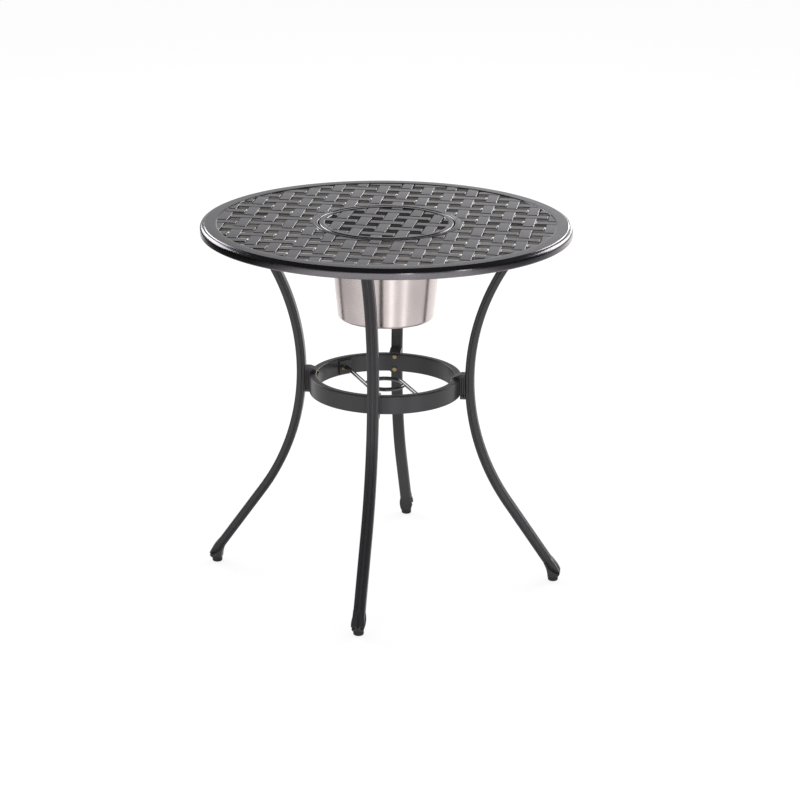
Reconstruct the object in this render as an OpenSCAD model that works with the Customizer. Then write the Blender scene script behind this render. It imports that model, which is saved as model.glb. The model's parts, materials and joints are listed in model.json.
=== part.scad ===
// Round cast bistro table with a woven grille top, four bowed legs, a stretcher ring
// and a steel ice bucket that hangs in the middle of the top under its own woven lid.
// The origin is on the floor below the table's centre, +Z is up, and the legs lie on X and Y.

/* [Table top] */
// Height of the top above the floor
table_h = 711; // [690:1:740]
// Diameter over the rim
table_d = 711; // [700:1:760]
// Width of the plain border round the weave
border_w = 32; // [28:1:40]
// Height of the rim, from its lip to the top
rim_h = 19.5; // [18:0.5:26]
// Radius of the rim's rounded upper edge
nose_r = 8; // [4:0.5:8.5]
// Radius of the rim's lower lip
lip_r = 3.5; // [1:0.5:4]
// Thickness of the rim's skirt
skirt_t = 8.5; // [8:0.5:12]
// Width of the fine line between the border and the rounded edge
line_w = 1.4; // [1:0.1:2]
// Depth of the fine line
line_d = 0.8; // [0.4:0.1:1.2]

/* [Weave] */
// Width of a strap
strap_w = 21.5; // [16:0.5:22.5]
// Thickness of the weave, from its raised pads to its flat underside
weave_t = 10.5; // [9:0.5:11.5]
// Depth by which a strap dips under its neighbour
dip = 4; // [2.5:0.5:5]
// Distance from one strap to the next
strap_pitch = 44.9; // [44.4:0.1:52]
// Length of the flat where a strap lies on top
over_l = 50; // [40:0.5:51]
// Run over which a strap dips under its neighbour
slope_l = 8; // [5:0.5:8.5]
// Depth of the weave's pads below the border
weave_drop = 1; // [0.5:0.1:2]

/* [Centre recess] */
// Width of the collar round the recess
collar_w = 12.5; // [9:0.5:18]
// Thickness of the ledge that carries the bucket
ledge_t = 4; // [3:0.5:6]
// Radius of the collar's rounded edges
collar_edge_r = 3; // [1:0.5:4]

/* [Ice bucket] */
// Outer diameter of the bucket at its mouth
bucket_d = 220; // [205:1:230]
// Outer diameter of its base
bucket_base_d = 184; // [160:1:196]
// Depth below its flange
bucket_h = 174; // [120:1:230]
// Thickness of its sheet
bucket_wall = 1.2; // [0.8:0.1:2]
// Radius where the wall meets the base
bucket_corner_r = 6; // [3:0.5:12]
// Width of the flange that it hangs by
flange_w = 17; // [12:0.5:20]
// Thickness of the flange
flange_t = 1.5; // [1:0.1:2.5]
// Gap between the bucket's mouth and the hole in the ledge
mouth_gap = 2.5; // [1:0.5:5]

/* [Lid] */
// Width of the lid's plain border
lid_border_w = 11; // [9:0.5:16]
// Distance that the lid reaches past the flange
lid_lap = 1.5; // [0.5:0.1:3]
// Gap between the lid and the collar
lid_gap = 2.3; // [1.5:0.1:4]
// Turn of the lid as it lies in the recess
lid_turn = -2.5; // [-45:0.5:45]

/* [Legs] */
// Distance from the table's axis to a leg's centre line at the waist
waist_r = 164.8; // [163:0.2:175]
// Height of the waist
waist_h = 407; // [390:1:420]
// Radius of the leg's bow
bow_r = 432.5; // [415:0.5:470]
// Slope of the straight lower stretch, from the vertical
splay = 35; // [31:0.5:38]
// Width of a leg, along the rim
leg_w = 22; // [19:0.5:24]
// Thickness of a leg, towards the axis
leg_t = 17; // [14:0.5:18]
// Radius of a leg's long edges
leg_edge_r = 3.5; // [2:0.5:4]
// Radius of the grooves along a leg
groove_r = 1.7; // [1:0.1:2]
// Distance of each front groove from the leg's middle
groove_y = 4; // [3:0.1:5]
// Distance of the side grooves from the leg's middle, towards the axis
groove_x = 2.6; // [1:0.1:3.5]

/* [Feet] */
// Height of the leg's end above the floor
foot_h = 42; // [40:0.5:55]
// Distance from the leg's end out to the glide
toe_reach = 11.3; // [9:0.1:13]
// Width of a foot
foot_w = 25.5; // [24:0.5:29]
// Distance that the toe reaches past the glide
toe_past = 3.5; // [2.5:0.1:4.5]
// Height of the toe's tip above the floor
toe_h = 20.5; // [19:0.5:23]
// Thickness of the toe's leaf at its tip
toe_tip_t = 1.5; // [1:0.1:2]
// Height by which the toe's leaf swells out from the line of the leg's face
toe_bulge = 1.4; // [0.4:0.1:2]
// Height of the sole under the slot's mouth
sole_h = 15; // [13.5:0.5:16]
// Depth of the slot in each side of a foot
slot_depth = 8; // [5:0.5:8.5]
// Depth of the crease down the toe's leaf, at its tip
crease_d = 3; // [2:0.5:4]
// Diameter of a glide
glide_d = 20; // [17:0.5:21]
// Height of a glide
glide_h = 9.7; // [8:0.1:12]
// Radius of a glide's lower edge
glide_edge_r = 3; // [1:0.5:5]
// Diameter of a glide's stem
stem_d = 8; // [6:0.5:9]
// Length of a glide's stem
stem_l = 7; // [5:0.5:8]

/* [Leg plates] */
// Length of a leg plate, along the radius
plate_l = 64; // [60:1:76]
// Width of a leg plate
plate_w = 36; // [28:1:44]
// Thickness of a leg plate
plate_t = 5; // [4:0.5:8]
// Distance between its two bolts
plate_bolt_gap = 44; // [42:1:48]
// Width of the boss that it is bolted to
boss_w = 24; // [18:1:32]
// Width of the ribs under the top
rib_w = 12; // [8:1:18]
// Height of the ribs' lower edge above the rim's lip
rib_lift = 2; // [0.5:0.5:5]

/* [Stretcher ring] */
// Outer diameter of the ring
ring_d = 295.4; // [290:0.2:298]
// Thickness of the ring
ring_t = 14.2; // [11:0.2:16]
// Height of the ring
ring_h = 35.5; // [35:0.5:40]
// Height of the ring's middle above the floor
ring_z = 390; // [384:1:396]
// Radius of the ring's edges
ring_edge_r = 2; // [1:0.5:3]

/* [Ring brackets] */
// Width of a bracket
bracket_w = 22; // [19:0.5:24]
// Height of a bracket above the ring
bracket_rise = 8; // [7:0.5:12]
// Depth of a bracket below the ring
bracket_drop = 5.5; // [4:0.5:10]
// Distance that its hook reaches in over the ring
hook_reach = 13; // [5:0.5:13.5]
// Height of the hook at its tip
hook_tip_h = 3.5; // [2.5:0.5:6]
// Thickness of the walls beside its pockets
bracket_wall = 1.6; // [1.2:0.1:2]
// Thickness of the rib between its pockets
bracket_rib = 2; // [1.4:0.1:2.4]
// Thickness of its web
bracket_web = 9; // [8:0.5:12]
// Thickness of its upper and lower flanges
bracket_flange = 5; // [3:0.5:6]

/* [Pole guide] */
// Radius of the guide's loop, to the rod's middle
loop_r = 36; // [30:0.5:44]
// Diameter of the rods
rod_d = 8; // [6:0.5:9]
// Height of the rods above the floor
rod_z = 387; // [384:1:392]
// Turn of the guide about the table's axis
guide_turn = 27; // [15:1:40]
// Width of the tabs that hold the rods
tab_w = 28; // [26:0.5:34]
// Height of the tabs
tab_h = 26; // [20:0.5:30]
// Thickness of the tabs at their edges
tab_t = 3; // [2:0.5:5]
// Distance from a tab's middle to its rod
tab_rod_off = 6; // [5.5:0.1:7]
// Distance from a tab's middle to its bolt
tab_bolt_off = 7; // [6.5:0.1:8]

/* [Bolts] */
// Diameter of the bolts in the leg plates
top_bolt_d = 6; // [5:0.5:6]
// Size across the flats of their heads
top_bolt_af = 10; // [8:0.5:10]
// Height of their heads
top_bolt_head = 4; // [3:0.5:5]
// Depth that they reach into the bosses
top_bolt_bite = 8.5; // [6:0.5:9]
// Diameter of the bolts in the ring
ring_bolt_d = 5; // [4:0.5:5]
// Size across the flats of their heads
ring_bolt_af = 8; // [7:0.5:8]
// Height of their heads
ring_bolt_head = 3.5; // [3:0.5:4]
// Distance between the two bolts at a bracket
ring_bolt_gap = 26; // [22:0.5:26]
// Depth that they reach into the brackets
ring_bolt_bite = 6; // [4:0.5:6]
// Depth that the tab bolts reach into the ring
tab_bolt_bite = 8; // [6:0.5:9]

/* [Hidden] */
$fn = 96;
// Facets of a full turn on the widest arcs
wide_fn = 480;

// Clearance of every bolt and stem in its hole
bore_fit = 0.15;
// Gap under each loose piece where it rests
seat_gap = 0.2;
// Depth by which ribs, weave and borders are cast into one another
bite = 0.5;
// Length by which a cut runs past the face that it opens
past = 1;
// Angle by which a leg's bow runs past the cut at its top
bow_past = 1;
// Points along each curve of a foot
foot_steps = 8;
// Directions of the four legs
right = 0;
back = 90;
left = 180;
front = 270;
leg_turns = [right, back, left, front];

// The weave: straps whose upper faces rise and dip by turns over one flat underside
weave_top_h = table_h - weave_drop;
weave_base_h = weave_top_h - weave_t;

// The top, from its rim to the recess in its middle
table_r = table_d / 2;
border_in_r = table_r - border_w;
border_t = weave_drop + weave_t + bite;
line_r = table_r - nose_r - line_w;
mouth_r = bucket_d / 2;
hole_r = mouth_r + mouth_gap;
flange_r = mouth_r + flange_w;
lid_r = flange_r + lid_lap;
recess_r = lid_r + lid_gap;
collar_mid_r = recess_r + collar_w / 2;
recess_depth = border_t + flange_t + 2 * seat_gap;
ledge_h = table_h - recess_depth;
collar_base_h = ledge_h - ledge_t;
rim_base_h = table_h - rim_h;

// The bucket and its lid, stacked on the ledge
flange_h = ledge_h + seat_gap;
lid_base_h = flange_h + flange_t + seat_gap;
bucket_base_h = flange_h - bucket_h;
base_r = bucket_base_d / 2;

// The legs' centre line: a bow about bow_axis_r, then a straight stretch down to the foot
bow_axis_r = waist_r + bow_r;
leg_top_h = rim_base_h - plate_t;
top_turn = asin((leg_top_h - waist_h) / (bow_r - leg_t / 2)) + bow_past;
plate_r = bow_axis_r - sqrt(pow(bow_r, 2) - pow(leg_top_h - waist_h, 2));
leg_back_r = bow_r + leg_t / 2;
bow_end_r = bow_axis_r - bow_r * cos(splay);
bow_end_h = waist_h - bow_r * sin(splay);
straight_l = (bow_end_h - foot_h) / cos(splay);
leg_end_r = bow_end_r + straight_l * sin(splay);
glide_x = leg_end_r + toe_reach;

// Side view of a foot, as [distance out from the glide's axis, height]
leg_out = [cos(splay), sin(splay)];
leg_end = [-toe_reach, foot_h];
shoulder = leg_end + leg_t / 2 * leg_out;
heel = leg_end - leg_t / 2 * leg_out;
heel_knee = [-glide_d / 2, heel[1] - (-glide_d / 2 - heel[0]) / tan(splay)];
toe_tip = [glide_d / 2 + toe_past, toe_h];
toe_lean = atan2(toe_tip[0] - shoulder[0], shoulder[1] - toe_h);

// The ring and what is bolted to it
ring_r = ring_d / 2;
ring_in_r = ring_r - ring_t;
ring_top_h = ring_z + ring_h / 2;
ring_base_h = ring_z - ring_h / 2;
ring_bolt_r = ring_bolt_af / 2 / cos(30);
ring_bolt_seat_r = sqrt(pow(ring_in_r, 2) - pow(ring_bolt_r, 2));
bracket_top_h = ring_top_h + bracket_rise;
bracket_base_h = ring_base_h - bracket_drop;
bracket_bore_r = ring_bolt_d / 2 + bore_fit;

// The pole guide: each rod runs in from a tab and bends round until it meets the other rod
rod_r = rod_d / 2;
loop_sweep = 180 - acos((loop_r - rod_r - seat_gap) / (loop_r + rod_r));
tab_turn = 90 + asin(loop_r / ring_in_r) + asin(tab_rod_off / ring_in_r);
tab_face_r = sqrt(pow(ring_in_r, 2) - pow(tab_w / 2, 2)) - tab_t;

// Outline with four round corners, centred on the origin
module rounded_rect(w, h, r) {
  square([w - 2 * r, h], center = true);
  square([w, h - 2 * r], center = true);
  for (x = [r - w / 2, w / 2 - r], y = [r - h / 2, h / 2 - r])
    translate([x, y]) circle(r);
}

// Hexagon bolt that points up from the underside of its head
module bolt(d, af, head_h, length) {
  translate([0, 0, -head_h]) cylinder(d = af / cos(30), h = head_h, $fn = 6);
  cylinder(d = d, h = length);
}

// Depth of a strap's upper face below the raised pads, at a distance u along it
function strap_dip(u, shift) =
  let (turns = u / strap_pitch - shift,
       s = abs(turns - 2 * floor((turns + 1) / 2)) * strap_pitch)
  s <= over_l / 2 ? 0 :
  s >= over_l / 2 + slope_l ? dip :
  dip * (s - over_l / 2) / slope_l;

// Distances along a strap at which it bends, out to its two ends
function strap_bends(shift, reach) = [
  -reach,
  for (k = [-ceil(reach / strap_pitch) - 1 : ceil(reach / strap_pitch) + 1])
    if ((k + shift) % 2 == 0)
      for (s = [-over_l / 2 - slope_l, -over_l / 2, over_l / 2, over_l / 2 + slope_l])
        if (abs(k * strap_pitch + s) < reach) k * strap_pitch + s,
  reach
];

// One strap along X, which passes over its neighbours by turns; shift starts it over or under
module strap(shift, reach) {
  rotate([90, 0, 0]) linear_extrude(strap_w, center = true) polygon([
    for (u = strap_bends(shift, reach)) [u, -strap_dip(u, shift)],
    [reach, -weave_t],
    [-reach, -weave_t]
  ]);
}

// Basket weave of straps out to a radius, with a strap through the middle each way
module weave(out_r) {
  rows = floor(out_r / strap_pitch);
  translate([0, 0, weave_top_h]) intersection() {
    union() {
      for (j = [-rows : rows]) {
        edge = max(abs(j) * strap_pitch - strap_w / 2, 0);
        reach = sqrt(pow(out_r, 2) - pow(edge, 2)) + past;
        translate([0, j * strap_pitch, 0]) strap(j, reach);
        rotate([0, 0, 90]) translate([0, j * strap_pitch, 0]) strap(j + 1, reach);
      }
    }
    translate([0, 0, -weave_t - past]) cylinder(r = out_r, h = weave_t + 2 * past);
  }
}

// Section of the border, the rounded edge, the skirt and its lip
module rim_section() {
  translate([border_in_r, table_h - border_t]) square([border_w - nose_r, border_t]);
  translate([table_r - nose_r, table_h - nose_r]) intersection() {
    circle(nose_r);
    square(nose_r);
  }
  translate([table_r - skirt_t, rim_base_h + lip_r]) square([skirt_t, rim_h - nose_r - lip_r]);
  translate([table_r - skirt_t + lip_r, rim_base_h]) square([skirt_t - 2 * lip_r, lip_r]);
  for (x = [table_r - skirt_t + lip_r, table_r - lip_r])
    translate([x, rim_base_h + lip_r]) circle(lip_r);
}

// Section of the collar and of the ledge inside it
module collar_section() {
  translate([recess_r, collar_base_h])
    square([collar_w, table_h - collar_base_h - collar_edge_r]);
  translate([recess_r + collar_edge_r, collar_base_h])
    square([collar_w - 2 * collar_edge_r, table_h - collar_base_h]);
  for (x = [recess_r + collar_edge_r, recess_r + collar_w - collar_edge_r])
    translate([x, table_h - collar_edge_r]) circle(collar_edge_r);
  translate([hole_r, collar_base_h]) square([recess_r - hole_r + bite, ledge_t]);
}

// Rib and boss under the top, along one leg's direction
module rib_and_boss() {
  rib_top_h = weave_base_h + bite;
  translate([collar_mid_r, -rib_w / 2, rim_base_h + rib_lift])
    cube([table_r - skirt_t / 2 - collar_mid_r, rib_w, rib_top_h - rim_base_h - rib_lift]);
  translate([plate_r - plate_l / 2, -boss_w / 2, rim_base_h])
    cube([plate_l, boss_w, rib_top_h - rim_base_h]);
}

module table_top() {
  color([0.41, 0.40, 0.42]) difference() {
    union() {
      rotate_extrude() rim_section();
      difference() {
        weave(border_in_r + border_w / 3);
        translate([0, 0, collar_base_h]) cylinder(r = collar_mid_r, h = rim_h + past);
      }
      rotate_extrude() collar_section();
      for (turn = leg_turns) rotate([0, 0, turn]) rib_and_boss();
    }
    rotate_extrude() translate([line_r, table_h - line_d]) square([line_w, line_d + past]);
    for (turn = leg_turns) rotate([0, 0, turn])
      for (x = [plate_r - plate_bolt_gap / 2, plate_r + plate_bolt_gap / 2])
        translate([x, 0, rim_base_h - past])
          cylinder(r = top_bolt_d / 2 + bore_fit, h = top_bolt_bite + bite + past);
  }
}

// Closed outline of the bucket, drawn in from its outer face by an inset
module bucket_outline(inset) {
  lean = (mouth_r - base_r) / bucket_h;
  steep = sqrt(1 + pow(lean, 2));
  corner_r = bucket_corner_r - inset;
  low = bucket_base_h + inset;
  foot_x = base_r + lean * inset - inset * steep;
  corner_x = foot_x + lean * corner_r - corner_r * steep;
  top = flange_h + (inset > 0 ? past : 0) + flange_t;
  polygon([
    [0, low],
    [corner_x, low],
    [corner_x + corner_r / steep, low + corner_r - corner_r * lean / steep],
    [foot_x + lean * (top - low), top],
    [0, top]
  ]);
  translate([corner_x, low + corner_r]) circle(corner_r);
}

module ice_bucket() {
  color([0.78, 0.76, 0.74]) rotate_extrude() difference() {
    union() {
      bucket_outline(0);
      translate([0, flange_h]) square([flange_r - flange_t / 2, flange_t]);
      translate([flange_r - flange_t / 2, flange_h + flange_t / 2]) circle(flange_t / 2);
    }
    bucket_outline(bucket_wall);
    translate([-2 * bucket_corner_r, bucket_base_h]) square([2 * bucket_corner_r, bucket_h]);
  }
}

// Section of the lid's plain border
module lid_border_section() {
  translate([lid_r - lid_border_w / 2, (table_h + lid_base_h) / 2])
    rounded_rect(lid_border_w, table_h - lid_base_h, collar_edge_r);
}

module lid() {
  color([0.41, 0.40, 0.42]) rotate([0, 0, lid_turn]) {
    weave(lid_r - lid_border_w / 2);
    rotate_extrude() lid_border_section();
  }
}

// Section of a leg: rounded bar with two grooves down its front and one down each side
module leg_section() {
  $fn = 48;
  difference() {
    rounded_rect(leg_t, leg_w, leg_edge_r);
    for (y = [-groove_y, groove_y]) translate([-leg_t / 2, y]) circle(groove_r);
    for (y = [-leg_w / 2, leg_w / 2]) translate([groove_x, y]) circle(groove_r);
  }
}

module leg(turn) {
  color([0.26, 0.25, 0.27]) rotate([0, 0, turn]) difference() {
    translate([bow_axis_r, 0, waist_h]) rotate([90, 0, 0]) rotate([0, 0, 180 + splay]) {
      rotate_extrude(angle = -top_turn - splay, $fn = wide_fn)
        translate([bow_r, 0]) leg_section();
      translate([bow_r, 0, 0]) rotate([-90, 0, 0]) linear_extrude(straight_l) leg_section();
    }
    translate([plate_r - plate_l, -leg_w, leg_top_h]) cube([2 * plate_l, 2 * leg_w, 2 * leg_t]);
  }
}

// Point at a share t of the way along a curve from a to c, drawn towards b
function curve(a, b, c, t) = (1 - t) * ((1 - t) * a + t * b) + t * ((1 - t) * b + t * c);

// Side view of a foot: the leaf of its toe, its sole, and its heel up to the leg
module foot_side() {
  polygon([
    for (i = [0 : foot_steps]) let (t = i / foot_steps)
      (1 - t) * shoulder + t * toe_tip + toe_bulge * sin(180 * t) * leg_out,
    [toe_tip[0], sole_h],
    [glide_d / 2, glide_h],
    for (i = [0 : foot_steps])
      curve([-glide_d / 2, glide_h], heel_knee, heel, i / foot_steps)
  ]);
}

// Front view of a foot, which swells below the leg and narrows to the glide
module foot_front() {
  swell = foot_w / 2 - (leg_w + glide_d) / 4;
  side = [for (i = [0 : foot_steps]) let (t = i / foot_steps) [
    (1 - t) * leg_w / 2 + t * glide_d / 2 + swell * sin(180 * t),
    (1 - t) * heel[1] + t * glide_h
  ]];
  polygon([
    [leg_w / 2, shoulder[1] + past],
    for (p = side) p,
    for (i = [foot_steps : -1 : 0]) [-side[i][0], side[i][1]],
    [-leg_w / 2, shoulder[1] + past]
  ]);
}

// Side view of a foot's slot, which carries the leg's side groove on to the toe's tip
module foot_slot() {
  start = leg_end - groove_x * leg_out + past * [-sin(splay), cos(splay)];
  polygon([
    start + groove_r * leg_out,
    toe_tip - [0, toe_tip_t],
    toe_tip + [past, -toe_tip_t],
    [toe_tip[0] + past, sole_h],
    for (i = [0 : foot_steps])
      curve([toe_tip[0], sole_h], [-glide_d / 2, toe_h], start - groove_r * leg_out,
            i / foot_steps)
  ]);
}

// Crease down the toe's leaf, which parts it into two lobes towards its tip
module toe_crease() {
  leaf_l = norm(toe_tip - shoulder);
  translate([shoulder[0], 0, shoulder[1]])
    rotate([0, 180 - toe_lean + atan(crease_d / leaf_l), 0])
      linear_extrude(leaf_l + crease_d) polygon([[0, 0], [-foot_w, foot_w], [-foot_w, -foot_w]]);
}

module foot(turn) {
  color([0.24, 0.23, 0.25]) rotate([0, 0, turn]) translate([glide_x, 0, 0]) difference() {
    intersection() {
      rotate([90, 0, 0]) linear_extrude(foot_w, center = true) foot_side();
      rotate([90, 0, 90]) linear_extrude(2 * foot_h, center = true) foot_front();
    }
    for (y = [-foot_w / 2, foot_w / 2]) translate([0, y, 0])
      rotate([90, 0, 0]) linear_extrude(2 * slot_depth, center = true) foot_slot();
    toe_crease();
    cylinder(d = stem_d + 2 * bore_fit, h = glide_h + stem_l + bite);
  }
}

module glide(turn) {
  color([0.07, 0.07, 0.08]) rotate([0, 0, turn]) translate([glide_x, 0, 0]) rotate_extrude() {
    square([glide_d / 2 - glide_edge_r, glide_h]);
    translate([0, glide_edge_r]) square([glide_d / 2, glide_h - glide_edge_r]);
    translate([glide_d / 2 - glide_edge_r, glide_edge_r]) circle(glide_edge_r);
    square([stem_d / 2, glide_h + stem_l]);
  }
}

module leg_plate(turn) {
  color([0.26, 0.25, 0.27]) rotate([0, 0, turn]) translate([plate_r, 0, leg_top_h]) difference() {
    linear_extrude(plate_t) rounded_rect(plate_l, plate_w, plate_t);
    for (x = [-plate_bolt_gap / 2, plate_bolt_gap / 2]) translate([x, 0, -past])
      cylinder(r = top_bolt_d / 2 + bore_fit, h = plate_t + 2 * past);
  }
}

module stretcher_ring() {
  color([0.26, 0.25, 0.27]) difference() {
    rotate_extrude() translate([ring_r - ring_t / 2, ring_z])
      rounded_rect(ring_t, ring_h, ring_edge_r);
    for (turn = leg_turns, z = [ring_z - ring_bolt_gap / 2, ring_z + ring_bolt_gap / 2])
      rotate([0, 0, turn]) translate([ring_in_r - ring_t, 0, z])
        rotate([0, 90, 0]) cylinder(r = bracket_bore_r, h = 3 * ring_t);
    for (turn = [0, 180]) rotate([0, 0, guide_turn + tab_turn + turn])
      translate([tab_face_r, tab_bolt_off, ring_z]) rotate([0, 90, 0])
        cylinder(r = bracket_bore_r, h = ring_in_r - tab_face_r + tab_bolt_bite + bite);
  }
}

// Side view of a ring bracket: it hooks over the ring and fills the space to the leg
module bracket_side() {
  difference() {
    polygon([
      [ring_r - ring_t / 4, bracket_base_h],
      [ring_r - ring_t / 4, ring_top_h],
      [ring_r - hook_reach, ring_top_h],
      [ring_r - hook_reach, ring_top_h + hook_tip_h],
      [ring_r, bracket_top_h],
      [waist_r, bracket_top_h],
      [waist_r, bracket_base_h]
    ]);
    translate([bow_axis_r, waist_h]) circle(leg_back_r, $fn = wide_fn);
  }
}

// Side view of the two pockets in each side of a bracket, with a rib between them
module bracket_pockets() {
  low = bracket_base_h + bracket_flange;
  pocket_h = bracket_top_h - bracket_flange - low;
  rib_x = (ring_r + waist_r - leg_t / 2) / 2;
  difference() {
    translate([ring_r + bracket_wall, low]) square([leg_t, pocket_h]);
    translate([rib_x - bracket_rib / 2, low]) square([bracket_rib, pocket_h]);
    translate([bow_axis_r, waist_h]) circle(leg_back_r + bracket_wall, $fn = wide_fn);
  }
}

module ring_bracket(turn) {
  pocket_d = (bracket_w - bracket_web) / 2;
  color([0.26, 0.25, 0.27]) rotate([0, 0, turn]) difference() {
    rotate([90, 0, 0]) linear_extrude(bracket_w, center = true) bracket_side();
    for (y = [-bracket_w / 2, bracket_w / 2]) translate([0, y, 0])
      rotate([90, 0, 0]) linear_extrude(2 * pocket_d, center = true) bracket_pockets();
    translate([0, 0, bracket_base_h - past])
      cylinder(r = ring_r, h = ring_top_h - bracket_base_h + past, $fn = wide_fn);
    for (z = [ring_z - ring_bolt_gap / 2, ring_z + ring_bolt_gap / 2])
      translate([ring_in_r, 0, z]) rotate([0, 90, 0])
        cylinder(r = bracket_bore_r, h = ring_t + ring_bolt_bite + bite);
  }
}

module guide_rod(turn) {
  color([0.22, 0.21, 0.23]) rotate([0, 0, guide_turn + turn]) difference() {
    translate([0, 0, rod_z]) {
      translate([-loop_r, 0, 0]) rotate([-90, 0, 0]) cylinder(r = rod_r, h = ring_in_r);
      rotate([0, 0, 180]) rotate_extrude(angle = loop_sweep)
        translate([loop_r, 0]) circle(rod_r);
    }
    rotate([0, 0, tab_turn]) translate([tab_face_r, -tab_w, rod_z - rod_d])
      cube([2 * ring_t, 2 * tab_w, 2 * rod_d]);
  }
}

module guide_tab(turn) {
  color([0.26, 0.25, 0.27]) rotate([0, 0, guide_turn + tab_turn + turn]) difference() {
    intersection() {
      translate([tab_face_r, -tab_w / 2, ring_z - tab_h / 2]) cube([2 * ring_t, tab_w, tab_h]);
      translate([0, 0, ring_z - tab_h]) cylinder(r = ring_in_r, h = 2 * tab_h, $fn = wide_fn);
    }
    translate([tab_face_r - past, tab_bolt_off, ring_z]) rotate([0, 90, 0])
      cylinder(r = bracket_bore_r, h = ring_t);
  }
}

// The eight bolts that hold the leg plates to the top
module leg_plate_bolts() {
  color([0.72, 0.64, 0.40])
    for (turn = leg_turns, side = [-1, 1]) rotate([0, 0, turn])
      translate([plate_r + side * plate_bolt_gap / 2, 0, leg_top_h])
        bolt(top_bolt_d, top_bolt_af, top_bolt_head, plate_t + top_bolt_bite);
}

// The eight bolts that hold the ring to its brackets
module ring_bolts() {
  color([0.72, 0.64, 0.40])
    for (turn = leg_turns, side = [-1, 1]) rotate([0, 0, turn])
      translate([ring_bolt_seat_r, 0, ring_z + side * ring_bolt_gap / 2]) rotate([0, 90, 0])
        bolt(ring_bolt_d, ring_bolt_af, ring_bolt_head,
             ring_r - ring_bolt_seat_r + ring_bolt_bite);
}

// The two bolts that hold the guide's tabs to the ring
module tab_bolts() {
  color([0.72, 0.64, 0.40])
    for (turn = [0, 180]) rotate([0, 0, guide_turn + tab_turn + turn])
      translate([tab_face_r, tab_bolt_off, ring_z]) rotate([0, 90, 0])
        bolt(ring_bolt_d, ring_bolt_af, ring_bolt_head, ring_in_r - tab_face_r + tab_bolt_bite);
}

table_top();
ice_bucket();
lid();
leg(right);  // leg_right
leg(back);  // leg_back
leg(left);  // leg_left
leg(front);  // leg_front
foot(right);  // foot_right
foot(back);  // foot_back
foot(left);  // foot_left
foot(front);  // foot_front
glide(right);  // glide_right
glide(back);  // glide_back
glide(left);  // glide_left
glide(front);  // glide_front
leg_plate(right);  // leg_plate_right
leg_plate(back);  // leg_plate_back
leg_plate(left);  // leg_plate_left
leg_plate(front);  // leg_plate_front
stretcher_ring();
ring_bracket(right);  // ring_bracket_right
ring_bracket(back);  // ring_bracket_back
ring_bracket(left);  // ring_bracket_left
ring_bracket(front);  // ring_bracket_front
guide_rod(0);  // guide_rod_a
guide_rod(180);  // guide_rod_b
guide_tab(0);  // guide_tab_a
guide_tab(180);  // guide_tab_b
leg_plate_bolts();
ring_bolts();
tab_bolts();
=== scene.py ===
# %% [markdown]
# # Dressing a round bistro table
# The table is already built: a cast top with a basket weave, four bowed legs, a stretcher ring,
# and a steel ice bucket that hangs in the middle under its own woven lid. All of it is loaded
# here as a fixed frame, in metres, with the floor at height 0 and the table's axis at the
# origin. The lesson models the top, the lid, the bucket, the legs, the ring, the rods and the
# bolts again with the soft edges of the real ones, gives each piece its finish, and sets up a
# plain studio and a camera.

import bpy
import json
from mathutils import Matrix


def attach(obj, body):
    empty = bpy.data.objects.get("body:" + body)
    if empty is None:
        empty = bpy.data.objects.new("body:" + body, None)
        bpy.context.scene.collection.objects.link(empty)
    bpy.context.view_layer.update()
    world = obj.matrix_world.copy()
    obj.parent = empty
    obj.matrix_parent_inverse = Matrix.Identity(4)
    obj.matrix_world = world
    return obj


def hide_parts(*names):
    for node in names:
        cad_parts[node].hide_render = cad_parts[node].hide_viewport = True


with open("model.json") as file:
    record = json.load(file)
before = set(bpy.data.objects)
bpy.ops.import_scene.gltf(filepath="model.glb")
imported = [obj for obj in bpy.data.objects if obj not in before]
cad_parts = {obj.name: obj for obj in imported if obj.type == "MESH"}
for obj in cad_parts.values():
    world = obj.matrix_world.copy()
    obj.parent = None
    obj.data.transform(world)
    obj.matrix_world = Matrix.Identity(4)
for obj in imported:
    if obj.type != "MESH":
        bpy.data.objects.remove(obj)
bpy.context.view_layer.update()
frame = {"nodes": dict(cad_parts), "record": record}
nodes = frame["nodes"]

# %% [markdown]
# ## Tools for modelling
# Modelling by hand goes in a fixed order: add a primitive, go into edit mode, pick some of its
# parts, and push, cut or round them. An operator acts on all that is selected, so each tool
# here first clears the selection. Parts are picked by where they lie, which reads like pointing
# at them.

# %% Start a piece and pick its parts
import math

import bmesh
import bpy
from mathutils import Matrix, Vector

MM = 0.001
HALF_TURN = math.pi
QUARTER_TURN = math.pi / 2
SAME_SPOT = 0.02


def alone(piece):
    """Select one piece and nothing else."""
    bpy.ops.object.select_all(action="DESELECT")
    piece.select_set(True)
    bpy.context.view_layer.objects.active = piece


def start(name, add, **settings):
    """Add a primitive, with its place and size put into its mesh."""
    bpy.ops.object.select_all(action="DESELECT")
    add(**settings)
    bpy.ops.object.transform_apply(location=True, rotation=True, scale=True)
    bpy.context.object.name = name
    return bpy.context.object


def edit(piece):
    """Go into edit mode with all of a piece selected."""
    alone(piece)
    bpy.ops.object.mode_set(mode="EDIT")
    bpy.ops.mesh.select_mode(type="VERT")
    bpy.ops.mesh.select_all(action="SELECT")


def done():
    """Leave edit mode."""
    bpy.ops.object.mode_set(mode="OBJECT")


def pick(kind, test):
    """In edit mode, select only the vertices, edges or faces that pass a test on their corners."""
    bpy.ops.mesh.select_mode(type=kind)
    bpy.ops.mesh.select_all(action="DESELECT")
    mesh = bmesh.from_edit_mesh(bpy.context.object.data)
    parts = {"VERT": mesh.verts, "EDGE": mesh.edges, "FACE": mesh.faces}[kind]
    picked = 0
    for part in parts:
        corners = [part.co] if kind == "VERT" else [corner.co for corner in part.verts]
        if all(test(corner) for corner in corners):
            part.select_set(True)
            picked += 1
    bmesh.update_edit_mesh(bpy.context.object.data)
    return picked


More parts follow.
